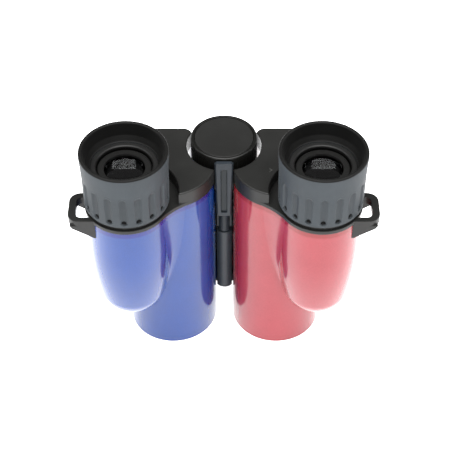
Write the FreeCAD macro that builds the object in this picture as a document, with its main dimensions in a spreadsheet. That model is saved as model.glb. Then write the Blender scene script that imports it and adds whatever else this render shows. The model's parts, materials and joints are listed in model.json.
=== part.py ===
import FreeCAD, Part
import math
import os
import Sketcher

# Compact reverse-porro binoculars, folded to the narrowest eye spacing.
# Millimetres, +Z up, standing on the two objective ends, eyecups on top.
# The hinge pin is the line x = 0, y = hinge_y; -Y is the side of the eyecups.

doc = FreeCAD.newDocument("binoculars")
sheet = doc.addObject("Spreadsheet::Sheet", "Sizes")

SIZES = [
    # barrel and housing
    ("hinge_y", 12.23), ("eye_x", 29.56), ("eye_y", -8.90),
    ("objective_x", 17.36), ("objective_y", 4.07),
    ("barrel_radius", 14.50), ("barrel_bore", 12.90), ("barrel_bore_top", 48.6),
    ("housing_radius", 12.75), ("housing_top", 63.8), ("housing_side", 49.5), ("housing_drop", 29.8),
    ("housing_corner", 10.37), ("housing_belly", 120.8),
    ("corner_x", 31.0), ("corner_y", 12.3), ("inner_corner_x", 13.1), ("inner_corner_y", 17.0), ("inner_corner_radius", 2.8), ("corner_radius", 7.5), ("corner_low", 47.0),
    ("scoop_radius", 11.74), ("scoop_floor", 58.6), ("ledge_radius", 9.0), ("ledge_top", 50.0),
    # hinge
    ("knuckle_radius", 4.20), ("hinge_tube_radius", 2.40), ("hinge_tube_bore", 1.70),
    ("knuckle_bore", 2.45), ("knuckle_low_a", 12.0), ("knuckle_low_b", 18.3), ("knuckle_low_height", 6.0),
    ("knuckle_high_a", 48.3), ("knuckle_high_b", 53.3), ("knuckle_high_height", 4.7),
    # cover
    ("cover_overhang", 0.25), ("flange_height", 1.2), ("plate_top", 69.3), ("cup_recess_radius", 15.9),
    ("loop_low", 62.4), ("plate_fillet", 0.45),
    # objective end
    ("front_ring_bore", 10.9), ("front_ring_low", 0.8), ("front_ring_height", 3.2),
    ("sleeve_radius", 12.82), ("sleeve_inner", 11.8), ("sleeve_low", 6.0), ("sleeve_top", 35.0),
    ("objective_radius", 11.7), ("arm_low", 32.9), ("arm_height", 1.6),
    # prisms
    ("prism_half", 6.0), ("prism_upper_half", 12.2), ("prism_lower_half", 12.97),
    ("prism_plate_low", 50.0), ("prism_plate_top", 51.0),
    # eyepiece
    ("cup_rim_radius", 13.44), ("cup_foot_radius", 13.05), ("cup_low", 66.4), ("cup_top", 86.2),
    ("carrier_radius", 10.3), ("carrier_top", 80.2), ("base_radius", 9.3), ("base_bore", 8.3),
    ("tube_radius", 8.2), ("tube_top", 79.0), ("tube_low", 57.0), ("eye_aperture", 6.2),
    ("flute_radius", 1.80), ("flute_circle", 14.40), ("pit_radius", 0.85), ("flute_top", 77.0), ("flute_count", 18),
    # focus
    ("knob_radius", 10.4), ("knob_low", 59.0), ("knob_top", 72.6), ("knob_cap_radius", 9.2),
    ("focus_screw_radius", 1.0),
    # bridge
    ("column_front", 0.23), ("column_thickness", 1.27), ("column_top", 72.0), ("column_low", 49.5),
    ("column_top_half", 2.90), ("column_low_half", 2.35),
]
for row, (name, value) in enumerate(SIZES, 1):
    sheet.set("A%d" % row, name)
    sheet.set("B%d" % row, str(value))
    sheet.setAlias("B%d" % row, name)
DERIVED = [
    ("flange_top", "=housing_top + flange_height"),
    ("plate_radius", "=barrel_radius + cover_overhang"),
    ("flange_radius", "=housing_radius + cover_overhang"),
    ("eye_minus_y", "=-eye_y"),
    ("column_height", "=column_top - column_low"),
    ("front_ring_top", "=front_ring_low + front_ring_height"),
    ("arm_top", "=arm_low + arm_height"),
    ("scoop_depth", "=housing_top - scoop_floor"),
    ("objective_minus_y", "=-objective_y"),
    ("hinge_minus_y", "=-hinge_y"),
    ("housing_bottom", "=housing_side - housing_drop"),
]
for row, (name, formula) in enumerate(DERIVED, len(SIZES) + 1):
    sheet.set("A%d" % row, name)
    sheet.set("B%d" % row, formula)
    sheet.setAlias("B%d" % row, name)
doc.recompute()


def num(a):
    # a size is either an alias in the sheet or a plain number
    if isinstance(a, str):
        return float(getattr(sheet, a))
    return float(a)


def bind(obj, path, a):
    if isinstance(a, str):
        obj.setExpression(path, "Sizes." + a)


def plane(body, role):
    for f in body.Origin.OriginFeatures:
        if f.Role == role:
            return f


class Piece:
    """A PartDesign body whose local origin stands at (x, y, 0)."""

    def __init__(self, label, x=0, y=0):
        self.body = doc.addObject("PartDesign::Body", label)
        self.body.Label = label
        self.n = 0
        self.body.Placement.Base = FreeCAD.Vector(num(x), num(y), 0)
        bind(self.body, ".Placement.Base.x", x)
        bind(self.body, ".Placement.Base.y", y)

    def sketch(self, role="XY_Plane", ox=0, oy=0, oz=0, turn=None):
        self.n += 1
        sk = self.body.newObject("Sketcher::SketchObject", "%s_sk%d" % (self.body.Label, self.n))
        sk.AttachmentSupport = [(plane(self.body, role), "")]
        sk.MapMode = "FlatFace"
        rot = turn if turn else FreeCAD.Rotation()
        sk.AttachmentOffset = FreeCAD.Placement(FreeCAD.Vector(num(ox), num(oy), num(oz)), rot)
        bind(sk, ".AttachmentOffset.Base.x", ox)
        bind(sk, ".AttachmentOffset.Base.y", oy)
        bind(sk, ".AttachmentOffset.Base.z", oz)
        return sk

    def circle(self, sk, r, inner=None):
        sk.addGeometry(Part.Circle(FreeCAD.Vector(0, 0, 0), FreeCAD.Vector(0, 0, 1), num(r)), False)
        sk.addConstraint(Sketcher.Constraint("Coincident", 0, 3, -1, 1))
        i = sk.addConstraint(Sketcher.Constraint("Radius", 0, num(r)))
        bind(sk, "Constraints[%d]" % i, r)
        if inner is not None:
            sk.addGeometry(Part.Circle(FreeCAD.Vector(0, 0, 0), FreeCAD.Vector(0, 0, 1), num(inner)), False)
            sk.addConstraint(Sketcher.Constraint("Coincident", 1, 3, -1, 1))
            i = sk.addConstraint(Sketcher.Constraint("Radius", 1, num(inner)))
            bind(sk, "Constraints[%d]" % i, inner)
        return sk

    def poly(self, sk, pts):
        """Closed outline. A point is (x, y) or (x, y, bulge): bulge gives the mid
        point (mx, my) of an arc from this point to the next."""
        g = []
        n = len(pts)
        for i in range(n):
            a = pts[i]
            b = pts[(i + 1) % n]
            va = FreeCAD.Vector(num(a[0]), num(a[1]), 0)
            vb = FreeCAD.Vector(num(b[0]), num(b[1]), 0)
            if len(a) > 2:
                vm = FreeCAD.Vector(a[2][0], a[2][1], 0)
                arc = Part.Arc(va, vm, vb)
                g.append((arc, True))
            else:
                g.append((Part.LineSegment(va, vb), False))
        sk.addGeometry([x[0] for x in g], False)
        ends = []
        for i, (geo, isarc) in enumerate(g):
            if isarc:
                s = sk.getPoint(i, 1)
                va = FreeCAD.Vector(num(pts[i][0]), num(pts[i][1]), 0)
                ends.append((1, 2) if s.distanceToPoint(va) < 1e-6 else (2, 1))
            else:
                ends.append((1, 2))
        for i in range(n):
            j = (i + 1) % n
            sk.addConstraint(Sketcher.Constraint("Coincident", i, ends[i][1], j, ends[j][0]))
        for i in range(n):
            px, py = pts[i][0], pts[i][1]
            if abs(num(px)) < 1e-9:
                sk.addConstraint(Sketcher.Constraint("PointOnObject", i, ends[i][0], -2))
            else:
                k = sk.addConstraint(Sketcher.Constraint("DistanceX", -1, 1, i, ends[i][0], num(px)))
                bind(sk, "Constraints[%d]" % k, px)
            if abs(num(py)) < 1e-9:
                sk.addConstraint(Sketcher.Constraint("PointOnObject", i, ends[i][0], -1))
            else:
                k = sk.addConstraint(Sketcher.Constraint("DistanceY", -1, 1, i, ends[i][0], num(py)))
                bind(sk, "Constraints[%d]" % k, py)
        return sk

    def feat(self, kind, sk, length=None, **props):
        self.n += 1
        f = self.body.newObject("PartDesign::" + kind, "%s_%s%d" % (self.body.Label, kind.lower(), self.n))
        f.Profile = sk
        if length is not None:
            f.Length = num(length)
            bind(f, "Length", length)
        for k, v in props.items():
            setattr(f, k, v)
        sk.Visibility = False
        return f

    def pad(self, sk, length, **props):
        return self.feat("Pad", sk, length, **props)

    def pocket(self, sk, length, **props):
        return self.feat("Pocket", sk, length, **props)

    def revolve(self, sk, kind="Revolution"):
        f = self.feat(kind, sk)
        f.ReferenceAxis = (sk, ["V_Axis"])
        f.Angle = 360.0
        return f

    def pad_circle(self, r, z0, z1, x=0, y=0, inner=None):
        sk = self.circle(self.sketch(ox=x, oy=y, oz=z0), r, inner)
        return self.pad(sk, num(z1) - num(z0))

    def cut_circle(self, r, z0, z1, x=0, y=0, inner=None):
        # sketch sits at the upper end, the pocket runs down
        sk = self.circle(self.sketch(ox=x, oy=y, oz=z1), r, inner)
        return self.pocket(sk, num(z1) - num(z0))

    def pad_poly(self, pts, z0, z1, ox=0, oy=0):
        sk = self.poly(self.sketch(ox=ox, oy=oy, oz=z0), pts)
        return self.pad(sk, num(z1) - num(z0))

    def cut_poly(self, pts, z0, z1, ox=0, oy=0):
        sk = self.poly(self.sketch(ox=ox, oy=oy, oz=z1), pts)
        return self.pocket(sk, num(z1) - num(z0))

    def turned(self, pts):
        """Solid of revolution about the local Z axis; pts are (radius, z)."""
        sk = self.poly(self.sketch("XZ_Plane"), pts)
        return self.revolve(sk)

    def done(self):
        doc.recompute()
        return self.body


def rect(x0, y0, x1, y1):
    return [(x0, y0), (x1, y0), (x1, y1), (x0, y1)]


def rounded(x0, y0, x1, y1, r):
    q = r * (1 - math.sqrt(0.5))
    return [(x0 + r, y0), (x1 - r, y0, (x1 - q, y0 + q)), (x1, y0 + r), (x1, y1 - r, (x1 - q, y1 - q)),
            (x1 - r, y1), (x0 + r, y1, (x0 + q, y1 - q)), (x0, y1 - r), (x0, y0 + r, (x0 + q, y0 + q))]


out = {}


def keep(piece, label=None):
    b = piece.done() if isinstance(piece, Piece) else piece
    out[b.Label] = b
    return b


def mirror(source, label):
    m = doc.addObject("Part::Mirroring", label)
    m.Label = label
    m.Source = source
    m.Base = FreeCAD.Vector(0, 0, 0)
    m.Normal = FreeCAD.Vector(1, 0, 0)
    source_visible = source
    doc.recompute()
    out[label] = m
    return m


def place(x, y):
    return {"x": x, "y": y}


HY = num("hinge_y")
EX, EY = num("eye_x"), num("eye_y")
TX, TY = num("objective_x"), num("objective_y")
reach = math.hypot(TX, TY - HY)
DX, DY = TX / reach, (TY - HY) / reach          # from the hinge pin to the barrel axis
PX, PY = -DY, DX
eye_gap = math.hypot(EX - TX, EY - TY)
WX, WY = (EX - TX) / eye_gap, (EY - TY) / eye_gap   # from the barrel axis to the eye axis
turn_w = math.degrees(math.atan2(WX, -WY))


def along(d, s):
    # point at distance d from the pin towards the barrel, s to its side
    return (DX * d + PX * s, HY + DY * d + PY * s)


def housing_profile(sk):
    # from the underside's flat middle round the corner and up the slightly bellied side
    R, zs, zt = num("housing_radius"), num("housing_side"), num("housing_top")
    zb = zs - num("housing_drop")
    flat, corner, side = 0.66, num("housing_corner"), num("housing_belly")
    cx, cz = flat, zb + corner
    sx, sz = R - side, zs
    d = math.hypot(cx - sx, cz - sz)
    # exact tangency: the corner circle touches the side circle from inside
    side_fit = d + corner
    tx, tz = sx + (cx - sx) / d * side_fit, sz + (cz - sz) / d * side_fit
    a0, a1 = -math.pi / 2, math.atan2(tz - cz, tx - cx)
    am = (a0 + a1) / 2
    m1 = (cx + corner * math.cos(am), cz + corner * math.sin(am))
    b0 = math.atan2(tz - sz, tx - sx)
    m2 = (sx + side_fit * math.cos(b0 / 2), sz + side_fit * math.sin(b0 / 2))
    top_r = sx + side_fit
    return [(0, zb), (flat, zb, m1), (tx, tz, m2), (top_r, zs), (top_r, "housing_top"), (0, "housing_top")]


def housing_radius_at(z):
    R, zs = num("housing_radius"), num("housing_side")
    if z >= zs:
        return R
    zb = zs - num("housing_drop")
    corner, side = num("housing_corner"), num("housing_belly")
    cx, cz, sx, sz = 0.66, zb + corner, R - side, zs
    side_fit = math.hypot(cx - sx, cz - sz) + corner
    r1 = sx + math.sqrt(max(side_fit ** 2 - (z - sz) ** 2, 0))
    r2 = cx + math.sqrt(max(corner ** 2 - (z - cz) ** 2, 0))
    return r2 if z < cz - 1.8 else r1


def neck_section(rt, re, blend, sink=0.0):
    """Concave blend between the barrel circle and the eyepiece circle, on the
    front inner side, as a closed outline with one arc."""
    d = eye_gap
    A, B = rt + blend, re + blend
    ca = (A * A + d * d - B * B) / (2 * d * A)
    al = math.acos(ca)
    base_angle = math.atan2(WY, WX)
    # the front inner side lies clockwise from the line barrel -> eyepiece
    ang = base_angle - al
    N = (TX + A * math.cos(ang), TY + A * math.sin(ang))
    blend = blend + sink
    p1 = (N[0] + (TX - N[0]) / A * blend, N[1] + (TY - N[1]) / A * blend)
    e = math.hypot(EX - N[0], EY - N[1])
    p2 = (N[0] + (EX - N[0]) / e * blend, N[1] + (EY - N[1]) / e * blend)
    u = (p1[0] - N[0] + p2[0] - N[0], p1[1] - N[1] + p2[1] - N[1])
    k = math.hypot(*u)
    mid = (N[0] + u[0] / k * blend, N[1] + u[1] / k * blend)
    q = (TX + WX * 12.0, TY + WY * 12.0)
    return p1, mid, p2, q


def tangent(c0, r0, c1, r1):
    """Outer tangent of two circles, on the left side going from c0 to c1."""
    dx, dy = c1[0] - c0[0], c1[1] - c0[1]
    d = math.hypot(dx, dy)
    a = math.atan2(dy, dx) + math.acos((r0 - r1) / d)
    return ((c0[0] + r0 * math.cos(a), c0[1] + r0 * math.sin(a)), (c1[0] + r1 * math.cos(a), c1[1] + r1 * math.sin(a)))


def rear_outline(extra=0.0):
    """Outline behind the eyepiece: barrel circle, rear outer corner, eyepiece circle."""
    T, C, E = (TX, TY), (num("corner_x"), num("corner_y")), (EX, EY)
    D, rd = (num("inner_corner_x"), num("inner_corner_y")), num("inner_corner_radius") + extra
    rt, rc, re = num("barrel_radius") + extra, num("corner_radius") + extra, num("housing_radius") + extra
    c1, e1 = None, None
    # clockwise seen from above: barrel back, corner, eyepiece side
    a0, a1 = tangent(D, rd, C, rc)
    b0, b1 = tangent(C, rc, E, re)
    am = (math.atan2(a1[1] - C[1], a1[0] - C[0]) + math.atan2(b0[1] - C[1], b0[0] - C[0])) / 2
    mid = (C[0] + rc * math.cos(am), C[1] + rc * math.sin(am))
    dm = (math.pi + math.atan2(a0[1] - D[1], a0[0] - D[0])) / 2
    inner_mid = (D[0] + rd * math.cos(dm), D[1] + rd * math.sin(dm))
    return [T, (D[0] - rd, D[1], inner_mid), a0, (a1[0], a1[1], mid), b0, b1, E]


# ---------------------------------------------------------------- barrel shells
def shell(label, low_knuckle, high_knuckle):
    p = Piece(label)
    p.pad_circle("barrel_radius", 0, "housing_top", "objective_x", "objective_y")
    # eyepiece housing: straight side above, tapering underside below
    p.revolve(p.poly(p.sketch("XZ_Plane", ox="eye_x", oz="eye_minus_y"), housing_profile(None)))
    # concave neck between barrel and housing, sharper towards the bottom
    rt = num("barrel_radius")
    secs = []
    for z in (63.8, 58.0, 52.0, 46.0, 40.0, 34.5, 30.0):
        blend = 0.5 + 21.5 * ((z - 28.0) / 35.8) ** 1.5
        p1, mid, p2, q = neck_section(rt, housing_radius_at(z), blend, 0.06)
        secs.append(p.poly(p.sketch(oz=z), [(p1[0], p1[1], mid), p2, q]))
    nk = p.feat("AdditiveLoft", secs[0])
    nk.Sections = secs[1:]
    nk.Ruled = False
    for sk in secs[1:]:
        sk.Visibility = False
    # rear outer corner that clears the prisms
    p.pad_poly(rear_outline(), "corner_low", "housing_top")
    tf = p.pad(p.poly(p.sketch(oz="corner_low"), rear_outline()), 12.0)
    tf.Reversed = True
    tf.TaperAngle = -28.0
    # hinge knuckles with their webs
    for z0, h in ((low_knuckle, "knuckle_low_height"), (high_knuckle, "knuckle_high_height")):
        p.pad_poly([along(0, 3.0), along(8.0, 3.0), along(8.0, -3.0), along(0, -3.0)], z0, num(z0) + num(h))
        p.pad_circle("knuckle_radius", z0, num(z0) + num(h), 0, "hinge_y")
    # barrel bore, ledge for the prism plate
    p.cut_circle("barrel_bore", 0, "barrel_bore_top", "objective_x", "objective_y")
    p.cut_circle("ledge_radius", num("barrel_bore_top") - 0.2, "ledge_top", "objective_x", "objective_y")
    # prism chamber
    p.cut_poly(rect(10.8, -2.6, 36.2, 10.9), "ledge_top", 57.2)
    p.cut_poly(rect(14.0, -2.6, 36.2, 10.9), 57.0, "housing_top")
    p.cut_poly(rect(22.9, -15.9, 36.2, 10.9), "ledge_top", "housing_top")
    vee = p.poly(p.sketch("YZ_Plane", oz=36.2), [(-16.4, 50.2), (-2.415, 36.2), (11.57, 50.2)])
    p.pocket(vee, 36.2 - 22.9)
    # relief for the lower rails of the prism cage
    p.cut_poly(rect(22.9, -11.2, 36.2, -0.8), 45.8, 50.3)
    # scoop for the focus wheel, bore for the hinge tube
    p.cut_circle("scoop_radius", "scoop_floor", "housing_top", 0, "hinge_y")
    p.cut_circle("knuckle_bore", 2.0, 60.0, 0, "hinge_y")
    # slot for the focus arm
    p.cut_poly([along(4.3, 1.8), along(8.5, 1.8), along(8.5, -1.8), along(4.3, -1.8)], 31.1, 36.3)
    # pilot holes for the three eyepiece screws
    for ang in (-90, 0, 180):
        a = math.radians(ang)
        p.cut_circle(0.45, 59.0, "housing_top", EX + 11.3 * math.cos(a), EY + 11.3 * math.sin(a))
    return keep(p)


shell("right_barrel_shell", "knuckle_low_b", "knuckle_high_b")
left_source = shell("left_shell_pattern", "knuckle_low_a", "knuckle_high_a")
del out["left_shell_pattern"]
mirror(left_source, "left_barrel_shell")


# ---------------------------------------------------------------- top cover with strap loop
def cover():
    p = Piece("right_top_cover")
    ft, pt = num("flange_top"), num("plate_top")
    zt = num("housing_top")
    # strap loop: outer D, with two gusset walls under its ends
    p.pad_poly([(36.0, -5.2), (43.8, -5.2, (46.27, -6.23)), (47.3, -8.7), (47.3, -14.1, (46.27, -16.57)),
                (43.8, -17.6), (34.0, -17.6)], "loop_low", "flange_top")
    for y0 in (-7.1, -17.6):
        sk = p.poly(p.sketch("XZ_Plane", oz=-y0 - 1.8), [(36.0, 57.6), (39.6, 57.9), (45.9, 61.9), (46.6, 63.0), (36.0, 63.0)])
        p.pad(sk, 1.8)
    p.cut_poly([(33.0, -7.1), (43.2, -7.1, (44.47, -7.63)), (45.0, -8.9), (45.0, -14.0, (44.47, -15.27)),
                (43.2, -15.8), (33.0, -15.8)], "loop_low", "flange_top")
    p.cut_circle("housing_radius", 50.0, "housing_top", "eye_x", "eye_y")
    p.cut_poly([(30.0, -8.9), (42.31, -8.9), (39.0, 8.4), (30.0, 8.4)], 50.0, "housing_top")
    # flange that follows the housing
    p.pad_circle("flange_radius", "housing_top", "flange_top", "eye_x", "eye_y")
    p.pad_circle("plate_radius", "housing_top", "plate_top", "objective_x", "objective_y")
    half = num("flange_radius")
    over = num("cover_overhang")
    p1, mid, p2, q = neck_section(num("barrel_radius") + over, half, 22.0 - over)
    p.pad_poly([(p1[0], p1[1], mid), p2, (EX, EY), (TX, TY)], "housing_top", "flange_top")
    p.pad_poly(rear_outline(num("cover_overhang")), "housing_top", "plate_top")
    # recess around the eyecup
    p.cut_circle("cup_recess_radius", "flange_top", "plate_top", "eye_x", "eye_y")
    p.cut_circle("scoop_radius", 60.0, 75.0, 0, "hinge_y")
    # hollows under the plate
    p.cut_poly(rect(14.5, 8.6, 33.5, 16.0), "housing_top", 67.9)
    p.cut_circle(3.0, "housing_top", 67.9, 11.0, -2.0)
    # passage for the eyepiece and clearance holes for its screws
    p.cut_circle(6.6, 60.0, 66.0, "eye_x", "eye_y")
    for ang in (-90, 0, 180):
        a = math.radians(ang)
        p.cut_circle(0.6, 60.0, 66.0, EX + 11.3 * math.cos(a), EY + 11.3 * math.sin(a))
    doc.recompute()
    tip = p.body.Tip
    top = []
    for i, e in enumerate(tip.Shape.Edges, 1):
        if e.BoundBox.ZMin > pt - 1e-4 and e.Length > 0.3:
            top.append((-e.Length, i, e))
    chosen, kept = [], []
    whole = tip.Shape.Volume
    for _, i, e in sorted(top, key=lambda q: q[:2]):
        # an edge whose rounding would spoil the solid stays sharp
        try:
            trial = tip.Shape.makeFillet(num("plate_fillet"), kept + [e])
            ok = trial.isValid() and len(trial.Solids) == 1 and 0.9 * whole < trial.Volume < whole
        except Exception:
            ok = False
        if ok:
            kept.append(e)
            chosen.append("Edge%d" % i)
    print("rounded edges", len(chosen), "of", len(top))
    fl = p.body.newObject("PartDesign::Fillet", "right_top_cover_fillet")
    fl.Base = (tip, chosen)
    fl.UseAllEdges = False
    fl.Radius = num("plate_fillet")
    bind(fl, "Radius", "plate_fillet")
    return keep(p)


PXW, PYW = -WY, WX
mirror(cover(), "left_top_cover")


def index_mark():
    # small arrow inlay beside the adjustable eyepiece
    p = Piece("diopter_index")
    p.pad_poly([(14.0, -0.4), (15.1, 0.4), (14.0, 1.2), (14.0, 0.9), (14.65, 0.4), (14.0, -0.1)], 69.3, 69.36)
    return keep(p)


index_mark()


# ---------------------------------------------------------------- objective end
def lens(label, x, y, r, zb0, zb1, zt0, zt1):
    """Round lens. zb0/zb1: lower face at the axis and at the rim; zt0/zt1: upper face."""
    p = Piece(label, x, y)
    rr = num(r)

    def mid(z0, z1):
        s = z1 - z0
        R = (rr * rr + s * s) / (2 * abs(s))
        m = R - math.sqrt(R * R - rr * rr / 4)
        return (rr / 2, z0 + math.copysign(m, s))
    pts = []
    pts.append((0, zb0, mid(zb0, zb1)) if abs(zb1 - zb0) > 1e-6 else (0, zb0))
    pts.append((r, zb1))
    if abs(zt1 - zt0) > 1e-6:
        m = mid(zt0, zt1)
        pts.append((r, zt1, m))
    else:
        pts.append((r, zt1))
    pts.append((0, zt0))
    p.turned(pts)
    return keep(p)


def front_ring():
    p = Piece("right_front_ring", "objective_x", "objective_y")
    p.turned([("front_ring_bore", "front_ring_low"), ("barrel_bore", "front_ring_low"),
              ("barrel_bore", "front_ring_top"), ("front_ring_bore", "front_ring_top")])
    # two notches for the assembly wrench
    p.cut_poly(rect(-13.0, -0.7, 13.0, 0.7), 0.5, 1.6)
    return keep(p)


def sleeve():
    p = Piece("right_objective_sleeve")
    sk = p.poly(p.sketch("XZ_Plane", ox="objective_x", oz="objective_minus_y"),
                [("sleeve_inner", "sleeve_low"), ("sleeve_radius", "sleeve_low"), ("sleeve_radius", "sleeve_top"),
                 ("sleeve_inner", "sleeve_top"), ("sleeve_inner", 15.6), (10.7, 15.0), (10.7, 14.4), ("sleeve_inner", 14.4)])
    p.revolve(sk)
    p.pad_poly([along(2.0, 1.5), along(7.2, 1.5), along(7.2, -1.5), along(2.0, -1.5)], "arm_low", "arm_top")
    p.cut_circle(3.35, 30.0, 37.0, 0, "hinge_y")
    return keep(p)


def retainer():
    p = Piece("right_objective_retainer", "objective_x", "objective_y")
    p.turned([(10.6, 6.3), ("sleeve_inner", 6.3), ("sleeve_inner", 7.6), (10.6, 8.2)])
    p.cut_poly(rect(-12.0, -0.6, 12.0, 0.6), 6.0, 6.9)
    return keep(p)


mirror(front_ring(), "left_front_ring")
mirror(sleeve(), "left_objective_sleeve")
mirror(retainer(), "left_objective_retainer")
mirror(lens("right_objective_front_lens", "objective_x", "objective_y", "objective_radius", 7.0, 8.6, 12.2, 10.9),
       "left_objective_front_lens")
mirror(lens("right_objective_rear_lens", "objective_x", "objective_y", "objective_radius", 12.25, 10.95, 13.7, 14.35),
       "left_objective_rear_lens")


# ---------------------------------------------------------------- prisms
def prism_upper():
    p = Piece("right_upper_prism")
    h = num("prism_upper_half")
    cx = (TX + EX) / 2
    z = num("prism_plate_top")
    sk = p.poly(p.sketch("XZ_Plane", oz=-(TY - num("prism_half"))), [(cx - h, z), (cx + h, z), (cx, z + h)])
    f = p.pad(sk, 2 * num("prism_half"))
    f.Reversed = True
    return keep(p)


def prism_lower():
    p = Piece("right_lower_prism")
    h = num("prism_lower_half")
    cy = (TY + EY) / 2
    z = num("prism_plate_low")
    sk = p.poly(p.sketch("YZ_Plane", oz=EX - num("prism_half")), [(cy - h, z), (cy, z - h), (cy + h, z)])
    p.pad(sk, 2 * num("prism_half"))
    return keep(p)


def prism_cage():
    p = Piece("right_prism_cage")
    z0, z1 = num("prism_plate_low"), num("prism_plate_top")
    ph = num("prism_half")
    p.pad_poly(rect(10.95, -2.45, 36.05, 10.75), z0, z1)
    p.pad_poly(rect(23.05, -15.75, 36.05, 10.75), z0, z1)
    # rails that locate the two prisms
    p.pad_poly(rect(15.0, -2.45, 32.0, TY - ph - 0.03), z0, 54.5)
    p.pad_poly(rect(15.0, TY + ph + 0.03, 32.0, 10.75), z0, 54.5)
    p.pad_poly(rect(23.05, -11.0, EX - ph - 0.03, -1.0), 46.0, z1)
    p.pad_poly(rect(EX + ph + 0.03, -11.0, 36.05, -1.0), 46.0, z1)
    p.cut_circle(5.7, 49.0, 52.0, "objective_x", "objective_y")
    p.cut_circle(5.7, 49.0, 52.0, "eye_x", "objective_y")
    p.cut_circle(5.7, 49.0, 52.0, "eye_x", "eye_y")
    return keep(p)


def clip(label, upper):
    # sprung strap over the roof edge of a prism
    p = Piece(label)
    t, w = 0.3, 2.0
    if upper:
        cx, h, z = (TX + EX) / 2, num("prism_upper_half"), num("prism_plate_top")
        k = math.sqrt(2)
        o, q = 0.03 * k, (0.03 + t) * k
        lo = 4.0
        pts = [(cx - h + lo - o, z + lo), (cx, z + h + o), (cx + h - lo + o, z + lo),
               (cx + h - lo + q, z + lo), (cx, z + h + q), (cx - h + lo - q, z + lo)]
        f = p.pad(p.poly(p.sketch("XZ_Plane", oz=-(TY - w)), pts), 2 * w)
        f.Reversed = True
    else:
        cy, h, z = (TY + EY) / 2, num("prism_lower_half"), num("prism_plate_low")
        k = math.sqrt(2)
        o, q = 0.03 * k, (0.03 + t) * k
        lo = 4.0
        pts = [(cy - h + lo - o, z - lo), (cy - h + lo - q, z - lo), (cy, z - h - q), (cy + h - lo + q, z - lo),
               (cy + h - lo + o, z - lo), (cy, z - h - o)]
        p.pad(p.poly(p.sketch("YZ_Plane", oz=EX - w), pts), 2 * w)
    return keep(p)


mirror(prism_upper(), "left_upper_prism")
mirror(prism_lower(), "left_lower_prism")
mirror(prism_cage(), "left_prism_cage")
mirror(clip("right_upper_prism_clip", True), "left_upper_prism_clip")
mirror(clip("right_lower_prism_clip", False), "left_lower_prism_clip")


# ---------------------------------------------------------------- eyepiece
def base():
    p = Piece("right_eyepiece_base", "eye_x", "eye_y")
    p.turned([(6.6, "flange_top"), (12.3, "flange_top"), (12.3, 66.2), ("base_radius", 66.2), ("base_radius", 76.0),
              ("base_bore", 76.0), ("base_bore", 66.2), (6.6, 66.2)])
    for ang in (-90, 0, 180):
        a = math.radians(ang)
        x, y = 11.3 * math.cos(a), 11.3 * math.sin(a)
        p.cut_circle(0.6, 64.0, 66.2, x, y)
        p.cut_circle(0.95, 65.6, 66.2, x, y)
    return keep(p)


def carrier(label):
    p = Piece(label, "eye_x", "eye_y")
    p.turned([(9.4, 66.5), ("carrier_radius", 66.5), ("carrier_radius", 79.9), (10.0, "carrier_top"),
              (8.8, "carrier_top"), (8.5, 79.9), (8.5, 79.2), (9.4, 79.2)])
    return keep(p)


def eyecup(label):
    p = Piece(label, "eye_x", "eye_y")
    R, Rf = num("cup_rim_radius"), num("cup_foot_radius")
    zt = num("cup_top")
    p.turned([("carrier_radius", "cup_low"), (Rf - 0.3, "cup_low"), ("cup_foot_radius", 66.7), (13.15, 78.6),
              (13.44, 84.9), ("cup_rim_radius", 85.6, (R - 0.18, 86.02)), (R - 0.5, "cup_top"), (12.6, "cup_top", (12.28, 86.06)),
              (12.14, 85.72), (11.5, 82.0), (10.6, 80.35), ("carrier_radius", 80.2)])
    # fluted lower grip
    cyl = p.body.newObject("PartDesign::SubtractiveCylinder", label + "_flute")
    cyl.Radius = num("flute_radius")
    cyl.setExpression("Radius", "Sizes.flute_radius")
    cyl.Height = num("flute_top") - 68.0
    cyl.AttachmentOffset = FreeCAD.Placement(FreeCAD.Vector(0, -num("flute_circle"), 68.0), FreeCAD.Rotation())
    cyl.AttachmentSupport = [(plane(p.body, "XY_Plane"), "")]
    cyl.MapMode = "FlatFace"
    ball = p.body.newObject("PartDesign::SubtractiveSphere", label + "_flute_end")
    ball.Radius = num("flute_radius")
    ball.setExpression("Radius", "Sizes.flute_radius")
    ball.AttachmentOffset = FreeCAD.Placement(FreeCAD.Vector(0, -num("flute_circle"), num("flute_top")), FreeCAD.Rotation())
    ball.AttachmentSupport = [(plane(p.body, "XY_Plane"), "")]
    ball.MapMode = "FlatFace"
    foot = p.body.newObject("PartDesign::SubtractiveSphere", label + "_flute_pit")
    foot.Radius = num("pit_radius")
    foot.setExpression("Radius", "Sizes.pit_radius")
    foot.AttachmentOffset = FreeCAD.Placement(FreeCAD.Vector(0, -12.95, 68.35), FreeCAD.Rotation())
    foot.AttachmentSupport = [(plane(p.body, "XY_Plane"), "")]
    foot.MapMode = "FlatFace"
    doc.recompute()
    pat = p.body.newObject("PartDesign::PolarPattern", label + "_flutes")
    pat.Originals = [cyl, ball, foot]
    pat.Axis = (plane(p.body, "Z_Axis"), [""])
    pat.Angle = 360.0
    pat.Occurrences = int(num("flute_count"))
    p.body.Tip = pat
    return keep(p)


def eyepiece_tube():
    p = Piece("right_eyepiece_tube", "eye_x", "eye_y")
    p.turned([(6.3, "tube_low"), (6.3, 67.3), ("tube_radius", 67.3), ("tube_radius", 78.7), (7.9, "tube_top"),
              ("eye_aperture", "tube_top"), ("eye_aperture", 78.3), (7.0, 78.3), (7.0, 68.3), (5.5, 68.3), (5.5, "tube_low")])
    return keep(p)


def ring(label, r0, r1, z0, z1, x, y):
    p = Piece(label, x, y)
    p.turned([(r0, z0), (r1, z0), (r1, z1), (r0, z1)])
    return keep(p)


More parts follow.
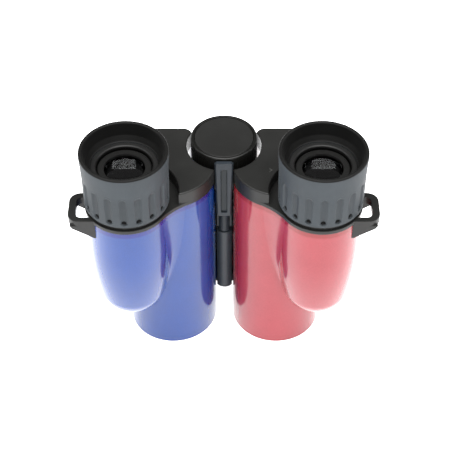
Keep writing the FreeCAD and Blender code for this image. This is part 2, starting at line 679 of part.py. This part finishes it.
def cup_screw(label, ang):
    a = math.radians(ang)
    p = Piece(label, EX + 11.3 * math.cos(a), EY + 11.3 * math.sin(a))
    p.turned([(0, 59.4), (0.42, 59.8), (0.42, 65.6), (0.9, 65.6), (0.9, 66.05), (0.75, 66.18), (0, 66.18)])
    p.cut_poly(rect(-0.55, -0.12, 0.55, 0.12), 65.9, 66.3)
    p.cut_poly(rect(-0.12, -0.55, 0.12, 0.55), 65.9, 66.3)
    return keep(p)


mirror(base(), "left_eyepiece_base")
mirror(carrier("diopter_ring"), "left_cup_carrier")
mirror(eyecup("right_eyecup"), "left_eyecup")
mirror(eyepiece_tube(), "left_eyepiece_tube")
mirror(lens("right_eye_lens", "eye_x", "eye_y", 6.95, 73.6, 74.6, 78.2, 77.1), "left_eye_lens")
mirror(ring("right_eye_spacer", 5.9, 6.95, 68.35, 74.2, "eye_x", "eye_y"), "left_eye_spacer")
mirror(lens("right_field_lens", "eye_x", "eye_y", 5.45, 60.6, 61.1, 64.2, 62.9), "left_field_lens")
mirror(ring("right_field_stop", 4.2, 5.45, 58.6, 59.4, "eye_x", "eye_y"), "left_field_stop")
for tag, ang in (("a", -90), ("b", 0), ("c", 180)):
    mirror(cup_screw("right_eyepiece_screw_" + tag, ang), "left_eyepiece_screw_" + tag)


# ---------------------------------------------------------------- hinge and bridge
def hinge_tube():
    p = Piece("hinge_tube", 0, "hinge_y")
    p.turned([("hinge_tube_bore", 8.8), ("hinge_tube_radius", 8.8), ("hinge_tube_radius", 58.8), ("hinge_tube_bore", 58.8)])
    # two long windows for the focus keys
    sk = p.poly(p.sketch("XZ_Plane", oz=0.55), rect(-3.0, 31.6, 3.0, 35.8))
    f = p.pocket(sk, 1.1)
    f.Reversed = False
    return keep(p)


def hinge_screw():
    p = Piece("hinge_end_screw", 0, "hinge_y")
    p.turned([(0, 7.6), (2.6, 7.6), (3.0, 8.0), (3.0, 8.75), (1.65, 8.75), (1.65, 14.0), (0, 14.0)])
    p.cut_poly(rect(-2.2, -0.35, 2.2, 0.35), 7.0, 8.2)
    return keep(p)


def hinge_bar():
    # lower link: two eyes on the hinge tube, joined by a bar in the gap between the barrels
    p = Piece("hinge_lower_link")
    p.pad_poly([(-2.5, 7.7), (-2.5, 6.2, (0.0, 4.95)), (2.5, 6.2), (2.5, 7.7)], 10.4, 36.9)
    for z0, z1 in ((9.0, 11.7), (24.6, 27.0)):
        p.pad_circle("knuckle_radius", z0, z1, 0, "hinge_y")
        p.pad_poly(rect(-2.5, 6.4, 2.5, 11.0), max(z0, 10.4), z1)
        p.cut_circle("hinge_tube_radius", z0 - 0.1, z1 + 0.1, 0, "hinge_y")
    return keep(p)


def column():
    p = Piece("bridge_column")
    zt, zl = num("column_top"), num("column_low")
    yf = num("column_front")
    a, b = num("column_top_half"), num("column_low_half")
    sk = p.poly(p.sketch("XZ_Plane", oz=-(yf + num("column_thickness"))),
                [(-b, zl + 0.5), (-b + 0.5, zl), (b - 0.5, zl), (b, zl + 0.5), (a, zt - 0.6), (a - 0.6, zt), (-a + 0.6, zt), (-a, zt - 0.6)])
    p.pad(sk, "column_thickness")
    p.pad_poly(rect(-1.6, 1.2, 1.6, 7.6), zl, 58.4)
    p.pad_poly([(-1.7, 7.6), (-1.7, 5.9, (0.0, 5.1)), (1.7, 5.9), (1.7, 7.6)], 37.4, zl + 0.1)
    p.pad_poly(rect(-2.4, 6.3, 2.4, 11.0), 45.3, 48.0)
    p.pad_circle("knuckle_radius", 38.2, 48.0, 0, "hinge_y")
    p.pad_poly(rect(-2.4, 6.6, 2.4, 11.0), 38.2, 45.4)
    p.cut_circle("hinge_tube_radius", 38.0, 48.2, 0, "hinge_y")
    # softened upright edges of the front face
    doc.recompute()
    tip = p.body.Tip
    uprights = []
    for i, e in enumerate(tip.Shape.Edges, 1):
        bb = e.BoundBox
        if bb.YMax < yf + 0.01 and bb.ZLength > 15.0:
            uprights.append("Edge%d" % i)
    ch = p.body.newObject("PartDesign::Chamfer", "bridge_column_chamfer")
    ch.Base = (tip, uprights)
    ch.Size = 0.45
    # recess in the front face for the inlay
    sk = p.poly(p.sketch("XZ_Plane", oz=-(yf + 0.85)), rounded(-0.98, 50.9, 0.98, 69.6, 0.5))
    f = p.pocket(sk, 2.0)
    f.Reversed = True
    return keep(p)


def inlay():
    p = Piece("column_inlay")
    yf = num("column_front")
    sk = p.poly(p.sketch("XZ_Plane", oz=-(yf + 0.85)), rounded(-0.90, 50.98, 0.90, 69.52, 0.42))
    p.pad(sk, 0.35)
    return keep(p)


keep(hinge_tube())
keep(hinge_screw())
keep(hinge_bar())
keep(column())
keep(inlay())
ring("hinge_washer", 2.45, 4.2, 58.1, 58.5, 0, "hinge_y")


# ---------------------------------------------------------------- focus
def knob():
    p = Piece("focus_knob", 0, "hinge_y")
    zt, zl, R = num("knob_top"), num("knob_low"), num("knob_radius")
    q = 0.6
    p.turned([("focus_screw_radius", 60.0), (3.0, 60.0), (3.0, 70.4), (8.8, 70.4), (8.8, zl), (R - 0.3, "knob_low"), ("knob_radius", zl + 0.3),
              ("knob_radius", zt - q, (R - q * 0.2929, zt - q * 0.2929)), (R - q, "knob_top"), (9.42, "knob_top"), (9.28, zt - 0.2), (9.28, 71.9),
              ("focus_screw_radius", 71.9)])
    cyl = p.body.newObject("PartDesign::SubtractiveCylinder", "focus_knob_groove")
    cyl.Radius = 0.32
    cyl.Height = 12.0
    cyl.AttachmentOffset = FreeCAD.Placement(FreeCAD.Vector(0, -(R + 0.12), 58.8), FreeCAD.Rotation())
    cyl.AttachmentSupport = [(plane(p.body, "XY_Plane"), "")]
    cyl.MapMode = "FlatFace"
    doc.recompute()
    pat = p.body.newObject("PartDesign::PolarPattern", "focus_knob_grooves")
    pat.Originals = [cyl]
    pat.Axis = (plane(p.body, "Z_Axis"), [""])
    pat.Angle = 360.0
    pat.Occurrences = 48
    p.body.Tip = pat
    return keep(p)


def knob_cap():
    p = Piece("focus_knob_cap", 0, "hinge_y")
    p.turned([(0, 71.9), ("knob_cap_radius", 71.9), ("knob_cap_radius", 72.3), (9.1, 72.4), (0, 72.4)])
    return keep(p)


def focus_screw():
    # plain ends with a cut thread between them
    p = Piece("focus_screw", 0, "hinge_y")
    pts = [(0, 28.5), (0.8, 28.5), ("focus_screw_radius", 28.8)]
    z = 29.4
    while z < 39.0:
        pts += [(1.0, z), (0.78, z + 0.22), (0.78, z + 0.38), (1.0, z + 0.6)]
        z += 1.2
    pts += [("focus_screw_radius", 71.9), (0, 71.9)]
    p.turned(pts)
    return keep(p)


def focus_nut():
    p = Piece("focus_nut", 0, "hinge_y")
    p.turned([(1.06, 31.7), (1.62, 31.7), (1.62, 35.7), (1.06, 35.7)])
    p.pad_poly(rect(1.3, -0.45, 3.0, 0.45), 33.3, 34.1)
    p.pad_poly(rect(-3.0, -0.45, -1.3, 0.45), 33.3, 34.1)
    return keep(p)


def spool():
    p = Piece("focus_spool", 0, "hinge_y")
    p.turned([(2.48, 31.2), (4.1, 31.2), (4.1, 32.6), (3.2, 32.6), (3.2, 34.8), (4.1, 34.8), (4.1, 36.2), (2.48, 36.2)])
    p.cut_poly(rect(-3.3, -0.5, 3.3, 0.5), 33.2, 34.2)
    return keep(p)


keep(knob())
keep(knob_cap())
keep(focus_screw())
keep(focus_nut())
keep(spool())

doc.recompute()

# ---------------------------------------------------------------- check and write
bad = []
for o in doc.Objects:
    if "Invalid" in o.State or "Error" in o.State:
        bad.append("%s %s" % (o.Name, o.State))
for name, b in sorted(out.items()):
    s = b.Shape
    if s.isNull():
        bad.append("%s has no shape" % name)
    elif not s.isValid() or len(s.Solids) != 1 or s.Volume <= 0:
        bad.append("%s shape: valid %s solids %d volume %.1f" % (name, s.isValid(), len(s.Solids), s.Volume))
for line in bad:
    print("BAD", line)
if bad:
    raise RuntimeError("%d faults" % len(bad))
os.makedirs("parts", exist_ok=True)
for name, b in sorted(out.items()):
    b.Shape.exportStep("parts/%s.step" % name)
box = FreeCAD.BoundBox()
for b in out.values():
    box.add(b.Shape.BoundBox)
print("nodes", len(out), "box", box)
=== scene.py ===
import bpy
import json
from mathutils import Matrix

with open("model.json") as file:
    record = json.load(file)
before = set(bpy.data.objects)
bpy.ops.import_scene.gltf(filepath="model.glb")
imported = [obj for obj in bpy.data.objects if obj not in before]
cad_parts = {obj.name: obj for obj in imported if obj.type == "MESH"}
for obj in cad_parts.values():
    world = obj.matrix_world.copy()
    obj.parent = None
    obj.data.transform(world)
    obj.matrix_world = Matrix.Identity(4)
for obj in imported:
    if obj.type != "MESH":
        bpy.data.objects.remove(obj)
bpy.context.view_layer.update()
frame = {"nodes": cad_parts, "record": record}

import bpy
import bmesh
import json
import math
from mathutils import Matrix, Vector

nodes = frame["nodes"]
scene = bpy.context.scene
scene.view_settings.view_transform = "Standard"
scene.view_settings.look = "None"
scene.view_settings.exposure = 0.0
scene.view_settings.gamma = 1.0

MM = 0.001
HINGE = (0.0, 12.23 * MM)
EYE = (29.56 * MM, -8.90 * MM)
TUBE = (17.36 * MM, 4.07 * MM)


CUP = ((0.0275, 0.0325, 0.0365), (0.034, 0.040, 0.045), (0.042, 0.049, 0.055))


# ------------------------------------------------------------------ materials
class Mat:
    """A node material built round one Principled shader, in object space (metres)."""

    def __init__(self, name):
        self.mat = bpy.data.materials.new(name)
        self.mat.use_nodes = True
        self.nt = self.mat.node_tree
        self.nt.nodes.clear()
        self.out = self.nt.nodes.new("ShaderNodeOutputMaterial")
        self.bsdf = self.nt.nodes.new("ShaderNodeBsdfPrincipled")
        self.nt.links.new(self.bsdf.outputs[0], self.out.inputs["Surface"])
        self.co = self.nt.nodes.new("ShaderNodeTexCoord").outputs["Object"]
        self.normal = None

    def new(self, kind):
        return self.nt.nodes.new(kind)

    def link(self, a, b):
        self.nt.links.new(a, b)

    def set(self, **kw):
        for k, v in kw.items():
            s = self.bsdf.inputs[k.replace("_", " ")]
            s.default_value = v
        return self

    def mapped(self, scale):
        m = self.new("ShaderNodeMapping")
        m.inputs["Scale"].default_value = scale if isinstance(scale, tuple) else (scale, scale, scale)
        self.link(self.co, m.inputs["Vector"])
        return m.outputs[0]

    def noise(self, scale, detail=3.0, rough=0.5, vec=None, distortion=0.0):
        n = self.new("ShaderNodeTexNoise")
        n.inputs["Scale"].default_value = scale
        n.inputs["Detail"].default_value = detail
        n.inputs["Roughness"].default_value = rough
        n.inputs["Distortion"].default_value = distortion
        self.link(vec if vec is not None else self.co, n.inputs["Vector"])
        return n.outputs["Fac"]

    def voronoi(self, scale, feature="F1", vec=None):
        n = self.new("ShaderNodeTexVoronoi")
        n.feature = feature
        n.inputs["Scale"].default_value = scale
        self.link(vec if vec is not None else self.co, n.inputs["Vector"])
        return n.outputs["Distance"]

    def remap(self, fac, a, b, lo, hi, clamp=True):
        n = self.new("ShaderNodeMapRange")
        n.clamp = clamp
        n.inputs["From Min"].default_value = a
        n.inputs["From Max"].default_value = b
        n.inputs["To Min"].default_value = lo
        n.inputs["To Max"].default_value = hi
        self.link(fac, n.inputs["Value"])
        return n.outputs["Result"]

    def ramp(self, fac, stops):
        n = self.new("ShaderNodeValToRGB")
        e = n.color_ramp.elements
        while len(e) > 1:
            e.remove(e[-1])
        e[0].position, e[0].color = stops[0][0], (*stops[0][1], 1)
        for p, c in stops[1:]:
            q = e.new(p)
            q.color = (*c, 1)
        self.link(fac, n.inputs["Fac"])
        return n.outputs["Color"]

    def math(self, op, a, b=None):
        n = self.new("ShaderNodeMath")
        n.operation = op
        for i, v in enumerate((a, b)):
            if v is None:
                continue
            if isinstance(v, (int, float)):
                n.inputs[i].default_value = v
            else:
                self.link(v, n.inputs[i])
        return n.outputs[0]

    def mix(self, fac, a, b, blend="MIX"):
        n = self.new("ShaderNodeMix")
        n.data_type = "RGBA"
        n.blend_type = blend
        for sock, v in ((n.inputs[0], fac), (n.inputs[6], a), (n.inputs[7], b)):
            if isinstance(v, (int, float)):
                sock.default_value = v
            elif isinstance(v, tuple):
                sock.default_value = (*v, 1)
            else:
                self.link(v, sock)
        return n.outputs[2]

    def bevel(self, radius):
        n = self.new("ShaderNodeBevel")
        n.samples = 6
        n.inputs["Radius"].default_value = radius
        self.normal = n.outputs[0]
        return n.outputs[0]

    def bump(self, height, strength, distance):
        n = self.new("ShaderNodeBump")
        n.inputs["Strength"].default_value = strength
        n.inputs["Distance"].default_value = distance
        self.link(height, n.inputs["Height"])
        if self.normal is not None:
            self.link(self.normal, n.inputs["Normal"])
        self.normal = n.outputs[0]
        return self.normal

    def done(self):
        if self.normal is not None:
            self.link(self.normal, self.bsdf.inputs["Normal"])
        return self.mat


def edge_wear(m, radius, lo, hi):
    """0 on flats, 1 on outer edges, from the difference between true and rounded normal."""
    b = m.new("ShaderNodeBevel")
    b.samples = 6
    b.inputs["Radius"].default_value = radius
    g = m.new("ShaderNodeNewGeometry")
    d = m.new("ShaderNodeVectorMath")
    d.operation = "DOT_PRODUCT"
    m.link(b.outputs[0], d.inputs[0])
    m.link(g.outputs["Normal"], d.inputs[1])
    return m.remap(d.outputs["Value"], hi, lo, 0.0, 1.0)


def lacquer(name, deep, light):
    m = Mat(name)
    flake = m.noise(2600.0, 2.0, 0.6)
    cloud = m.noise(38.0, 4.0, 0.55)
    tone = m.math("ADD", m.math("MULTIPLY", flake, 0.45), m.math("MULTIPLY", cloud, 0.55))
    base = m.ramp(tone, [(0.36, deep), (0.66, light)])
    # painted shade: a deeper band of colour just under the cover lip stands in for the lip's shadow and dark
    # reflection; the shell is also darker towards its lower edge
    pz = m.new("ShaderNodeSeparateXYZ")
    m.link(m.co, pz.inputs[0])
    cover_lip_shade = m.remap(pz.outputs["Z"], 0.0614, 0.0621, 0.0, 0.92)
    low = m.remap(pz.outputs["Z"], 0.0012, 0.0, 0.0, 0.4)
    base = m.mix(m.math("ADD", cover_lip_shade, low), base, tuple(c * (0.85 if c == max(deep) else 0.25) for c in deep))
    hy = m.math("SUBTRACT", pz.outputs["Y"], HINGE[1])
    hinge = m.math("SQRT", m.math("ADD", m.math("MULTIPLY", pz.outputs["X"], pz.outputs["X"]), m.math("MULTIPLY", hy, hy)))
    # the moulded knuckles and their webs are masked off and stay black
    web = m.math("MULTIPLY", m.remap(hinge, 0.0056, 0.0053, 0.0, 1.0), m.remap(pz.outputs["Z"], 0.0586, 0.0582, 0.0, 1.0))
    base = m.mix(web, base, (0.006, 0.006, 0.006))
    m.link(base, m.bsdf.inputs["Base Color"])
    scuff = m.noise(60.0, 8.0, 0.75, vec=m.mapped((1.0, 1.0, 0.18)))
    m.link(m.remap(scuff, 0.35, 0.75, 0.10, 0.22), m.bsdf.inputs["Roughness"])
    m.set(Specular_IOR_Level=0.22, Coat_Weight=0.55, Coat_Roughness=0.03, Coat_IOR=1.42)
    m.bevel(0.00025)
    m.bump(m.noise(420.0, 2.0, 0.5), 0.03, 0.00008)
    return m.done()


def grained(name, dark, light, rough=(0.40, 0.56), grain=5200.0, depth=0.00004, strength=0.5, bev=0.0002, spec=0.5, coat=0.0):
    m = Mat(name)
    cloud = m.noise(70.0, 5.0, 0.6)
    m.link(m.ramp(cloud, [(0.34, dark), (0.70, light)]), m.bsdf.inputs["Base Color"])
    m.link(m.remap(m.noise(150.0, 6.0, 0.7), 0.3, 0.75, rough[0], rough[1]), m.bsdf.inputs["Roughness"])
    m.set(Specular_IOR_Level=spec, Coat_Weight=coat, Coat_Roughness=0.2)
    if bev:
        m.bevel(bev)
    cells = m.voronoi(grain, "SMOOTH_F1")
    m.bump(m.math("ADD", m.math("MULTIPLY", cells, 0.6), m.math("MULTIPLY", m.noise(grain * 0.7, 3.0, 0.6), 0.6)), strength, depth)
    return m.done()


def rubber(name):
    m = Mat(name)
    # distance from the eye axis, the same on the left and right cups
    p = m.new("ShaderNodeSeparateXYZ")
    m.link(m.co, p.inputs[0])
    dx = m.math("SUBTRACT", m.math("ABSOLUTE", p.outputs["X"]), EYE[0])
    dy = m.math("SUBTRACT", p.outputs["Y"], EYE[1])
    r = m.math("SQRT", m.math("ADD", m.math("MULTIPLY", dx, dx), m.math("MULTIPLY", dy, dy)))
    cloud = m.noise(90.0, 6.0, 0.65)
    base = m.ramp(cloud, [(0.30, CUP[0]), (0.52, CUP[1]), (0.75, CUP[2])])
    dust = m.remap(m.noise(900.0, 4.0, 0.7), 0.64, 0.80, 0.0, 0.25)
    base = m.mix(dust, base, tuple(c * 1.5 for c in CUP[2]))
    # painted shade: darker on the recessed flute floors, where shade falls in the grooves
    flute_shade = m.math("MULTIPLY", m.remap(r, 0.01300, 0.01275, 0.0, 0.22), m.remap(p.outputs["Z"], 0.0790, 0.0780, 0.0, 1.0))
    base = m.mix(flute_shade, base, (0.012, 0.013, 0.014))
    # painted shade: near-black on the deepest recessed surfaces low on the cup
    deep_recess_shade = m.math("MULTIPLY", m.remap(r, 0.01262, 0.01245, 0.0, 1.0), m.remap(p.outputs["Z"], 0.0700, 0.0694, 0.0, 1.0))
    base = m.mix(deep_recess_shade, base, (0.0015, 0.0016, 0.0018))
    # painted shade: the rolled rim top and the throat of the cup are darkened to near-black
    rim_top_shade = m.remap(p.outputs["Z"], 0.08555, 0.08575, 0.0, 1.0)
    throat_shade = m.math("MULTIPLY", m.remap(r, 0.0126, 0.0124, 0.0, 1.0), m.remap(p.outputs["Z"], 0.0798, 0.0802, 0.0, 1.0))
    rim_and_throat_shade = m.math("MAXIMUM", rim_top_shade, throat_shade)
    base = m.mix(rim_and_throat_shade, base, (0.0022, 0.0022, 0.0020))
    m.link(base, m.bsdf.inputs["Base Color"])
    m.link(m.remap(cloud, 0.3, 0.7, 0.50, 0.64), m.bsdf.inputs["Roughness"])
    m.set(Specular_IOR_Level=0.14, Sheen_Weight=0.01, Sheen_Roughness=0.5)
    m.bevel(0.0003)
    m.bump(m.math("ADD", m.voronoi(6500.0, "SMOOTH_F1"), m.noise(3500.0, 4.0, 0.6)), 0.30, 0.00004)
    return m.done()


def metal(name, dark, light, rough=(0.18, 0.34), stretch=(1.0, 1.0, 1.0), scale=900.0, bev=0.0001):
    m = Mat(name)
    fine = m.noise(scale, 4.0, 0.6, vec=m.mapped(stretch))
    m.link(m.ramp(fine, [(0.3, dark), (0.7, light)]), m.bsdf.inputs["Base Color"])
    m.link(m.remap(fine, 0.3, 0.7, rough[0], rough[1]), m.bsdf.inputs["Roughness"])
    m.set(Metallic=1.0)
    if bev:
        m.bevel(bev)
    m.bump(fine, 0.15, 0.00002)
    return m.done()


def lens_glass(name, tint, coat_tint):
    m = Mat(name)
    m.link(m.ramp(m.noise(40.0, 2.0, 0.5), [(0.3, tint), (0.7, tuple(min(1.0, c * 1.02) for c in tint))]), m.bsdf.inputs["Base Color"])
    m.set(Roughness=0.0, IOR=1.52, Transmission_Weight=1.0, Specular_IOR_Level=0.12, Coat_Weight=0.06, Coat_Roughness=0.0)
    m.bsdf.inputs["Coat Tint"].default_value = (*coat_tint, 1)
    return m.done()


def painted(name, colour):
    m = Mat(name)
    n = m.noise(4000.0, 3.0, 0.6)
    m.link(m.ramp(n, [(0.3, tuple(c * 0.85 for c in colour)), (0.7, colour)]), m.bsdf.inputs["Base Color"])
    m.set(Roughness=0.5)
    m.bump(n, 0.2, 0.00001)
    return m.done()


MATS = {
    "left_shell_lacquer": lacquer("left_shell_lacquer", (0.0032, 0.028, 0.148), (0.0046, 0.038, 0.195)),
    "right_shell_lacquer": lacquer("right_shell_lacquer", (0.205, 0.0165, 0.024), (0.265, 0.024, 0.034)),
    "cover_black": grained("cover_black", (0.0095, 0.0095, 0.0090), (0.0125, 0.0125, 0.0118), (0.30, 0.40), depth=0.00002, spec=0.22),
    "cup_rubber": rubber("cup_rubber"),
    "collar_black": grained("collar_black", (0.0055, 0.0055, 0.0052), (0.008, 0.008, 0.0078), (0.34, 0.46), spec=0.25),
    "tube_black": grained("tube_black", (0.0040, 0.0040, 0.0038), (0.0065, 0.0065, 0.0062), (0.30, 0.42), spec=0.25),
    "coated_glass": lens_glass("coated_glass", (0.42, 0.43, 0.41), (0.60, 0.66, 0.86)),
    "prism_glass": lens_glass("prism_glass", (0.20, 0.21, 0.20), (0.9, 0.95, 1.0)),
    "spring_steel": metal("spring_steel", (0.36, 0.36, 0.37), (0.55, 0.55, 0.56)),
    "cage_plastic": grained("cage_plastic", (0.012, 0.012, 0.012), (0.02, 0.02, 0.02), (0.5, 0.65)),
    "sleeve_plastic": grained("sleeve_plastic", (0.010, 0.010, 0.010), (0.018, 0.018, 0.018), (0.35, 0.5)),
    "anodised_ring": metal("anodised_ring", (0.02, 0.02, 0.022), (0.035, 0.035, 0.037), (0.30, 0.42)),
    "screw_steel": metal("screw_steel", (0.10, 0.10, 0.105), (0.18, 0.18, 0.185), (0.25, 0.4)),
    "hinge_steel": metal("hinge_steel", (0.30, 0.30, 0.31), (0.46, 0.46, 0.48), (0.15, 0.3)),
    "bridge_grey": grained("bridge_grey", (0.013, 0.017, 0.0215), (0.0185, 0.023, 0.0285), (0.30, 0.42), depth=0.00002, spec=0.18),
    "inlay_dark": grained("inlay_dark", (0.0065, 0.0095, 0.0115), (0.010, 0.0135, 0.016), (0.30, 0.42), depth=0.00002, spec=0.16),
    "knob_black": grained("knob_black", (0.0030, 0.0030, 0.0026), (0.0048, 0.0048, 0.0042), (0.26, 0.34), depth=0.00002, spec=0.22),
    "knob_cap_dark": grained("knob_cap_dark", (0.0095, 0.0095, 0.009), (0.0125, 0.0125, 0.012), (0.30, 0.40), depth=0.00002, spec=0.22),
    "nut_brass": metal("nut_brass", (0.50, 0.36, 0.13), (0.72, 0.55, 0.25)),
    "spool_plastic": grained("spool_plastic", (0.02, 0.02, 0.02), (0.03, 0.03, 0.03)),
    "index_paint": painted("index_paint", (0.034, 0.034, 0.032)),
}
def lens_barrel_painted_glints(name):
    """Black inside wall of an eyepiece, with painted glints left and right standing in for reflections seen through the
    eye lens.
    """
    m = Mat(name)
    p = m.new("ShaderNodeSeparateXYZ")
    m.link(m.co, p.inputs[0])
    dx = m.math("ABSOLUTE", m.math("SUBTRACT", m.math("ABSOLUTE", p.outputs["X"]), EYE[0]))
    dy = m.math("SUBTRACT", p.outputs["Y"], EYE[1])
    r = m.math("SQRT", m.math("ADD", m.math("MULTIPLY", dx, dx), m.math("MULTIPLY", dy, dy)))
    # painted reflection: light patches on the left and right of the lower inner wall
    glint_side = m.math("MULTIPLY", m.remap(dx, 0.0036, 0.0042, 0.0, 1.0), m.remap(r, 0.0064, 0.0061, 0.0, 1.0))
    low = m.math("MULTIPLY", m.remap(p.outputs["Z"], 0.0712, 0.0706, 0.0, 1.0), m.remap(dy, -0.0032, -0.0026, 0.0, 1.0))
    tone = m.ramp(m.noise(1500.0, 3.0, 0.6), [(0.3, (0.0040, 0.0040, 0.0038)), (0.7, (0.0065, 0.0065, 0.0062))])
    m.link(m.mix(m.math("MULTIPLY", glint_side, low), tone, (0.55, 0.57, 0.55)), m.bsdf.inputs["Base Color"])
    m.set(Roughness=0.35, Specular_IOR_Level=0.25)
    m.bump(m.noise(5200.0, 3.0, 0.6), 0.3, 0.00002)
    return m.done()


SPECIAL = {}
for side_name in ("left", "right"):
    for piece in ("eye_spacer", "field_stop", "eyepiece_tube"):
        SPECIAL[side_name + "_" + piece] = "lens_barrel_painted_glints"
    SPECIAL[side_name + "_eye_lens"] = "eye_lens_glass_shaded"
# painted light: the lower link gets a lighter copy of the bridge grey, standing in for the light its rounded front
# catches
SPECIAL["hinge_lower_link"] = "bridge_grey_lit_copy"
MATS["bridge_grey_lit_copy"] = grained("bridge_grey_lit_copy", (0.023, 0.028, 0.034), (0.031, 0.037, 0.044), (0.30, 0.42), depth=0.00002, spec=0.24)
MATS["lens_barrel_painted_glints"] = lens_barrel_painted_glints("lens_barrel_painted_glints")
# painted shade: the eye lenses get a darker-tinted copy of the lens glass, standing in for the dark interior seen
# through them
MATS["eye_lens_glass_shaded"] = lens_glass("eye_lens_glass_shaded", (0.20, 0.205, 0.198), (0.60, 0.66, 0.86))
slot_of = {s["node"]: s["material_slot"] for s in frame["record"]["subparts"]}
for name, ob in nodes.items():
    mat = MATS[SPECIAL.get(name, slot_of[name])]
    if not ob.data.materials:
        ob.data.materials.append(mat)
    for i in range(len(ob.data.materials)):
        ob.data.materials[i] = mat


# ------------------------------------------------------------------ stage, lights, camera
def build_mesh(name, verts, faces, mat=None, smooth=False):
    me = bpy.data.meshes.new(name)
    me.from_pydata([tuple(v) for v in verts], [], faces)
    me.update()
    if smooth:
        for p in me.polygons:
            p.use_smooth = True
    ob = bpy.data.objects.new(name, me)
    scene.collection.objects.link(ob)
    if mat:
        me.materials.append(mat)
    return ob


fm = Mat("studio_floor")
fn = fm.noise(25.0, 4.0, 0.5)
fm.link(fm.ramp(fn, [(0.3, (0.90, 0.90, 0.90)), (0.7, (0.915, 0.915, 0.915))]), fm.bsdf.inputs["Base Color"])
fm.set(Roughness=0.9, Specular_IOR_Level=0.1, Emission_Color=(1.0, 1.0, 1.0, 1.0), Emission_Strength=0.75)
floor = build_mesh("studio_floor", [(-4, -4, 0), (4, -4, 0), (4, 4, 0), (-4, 4, 0)], [(0, 1, 2, 3)], fm.done())

world = bpy.data.worlds.new("studio")
scene.world = world
world.use_nodes = True
bg = world.node_tree.nodes["Background"]
bg.inputs["Color"].default_value = (1, 1, 1, 1)
bg.inputs["Strength"].default_value = 0.22


def area(name, loc, target, size, power, size_y=None):
    d = bpy.data.lights.new(name, "AREA")
    d.shape = "RECTANGLE"
    d.size = size
    d.size_y = size_y or size
    d.energy = power
    o = bpy.data.objects.new(name, d)
    scene.collection.objects.link(o)
    o.location = loc
    o.rotation_euler = (Vector(target) - Vector(loc)).to_track_quat("-Z", "Y").to_euler()
    return o


area("overhead_softbox", (0.0, -0.38, 1.20), (0, -0.38, 0.0), 1.5, 54.0)
area("front_softbox", (0.0, -1.15, 0.42), (0, 0, 0.05), 1.0, 3.5, 0.45)
area("left_softbox", (-1.05, -0.15, 0.50), (0, 0, 0.05), 0.7, 4.5, 0.6)
area("right_softbox", (1.05, -0.15, 0.50), (0, 0, 0.05), 0.7, 4.5, 0.6)

cam_data = bpy.data.cameras.new("camera")
cam = bpy.data.objects.new("camera", cam_data)
scene.collection.objects.link(cam)
cam_data.sensor_fit = "HORIZONTAL"
cam_data.sensor_width = 36.0
cam_data.lens = 108.0
cam_data.clip_start = 0.01
cam_data.clip_end = 20.0
C = Vector((2.01431548, -302.02568157, 354.76603607)) * MM
F = Vector((-0.00402719, 0.69876144, -0.71534344))
R = Vector((0.99999182, 0.0025535, -0.00313537))
U = Vector((3.64250192e-04, 0.715350219, 0.698766007))
rot = Matrix(((R.x, U.x, -F.x), (R.y, U.y, -F.y), (R.z, U.z, -F.z))).to_4x4()
cam.matrix_world = Matrix.Translation(C) @ rot
scene.camera = cam
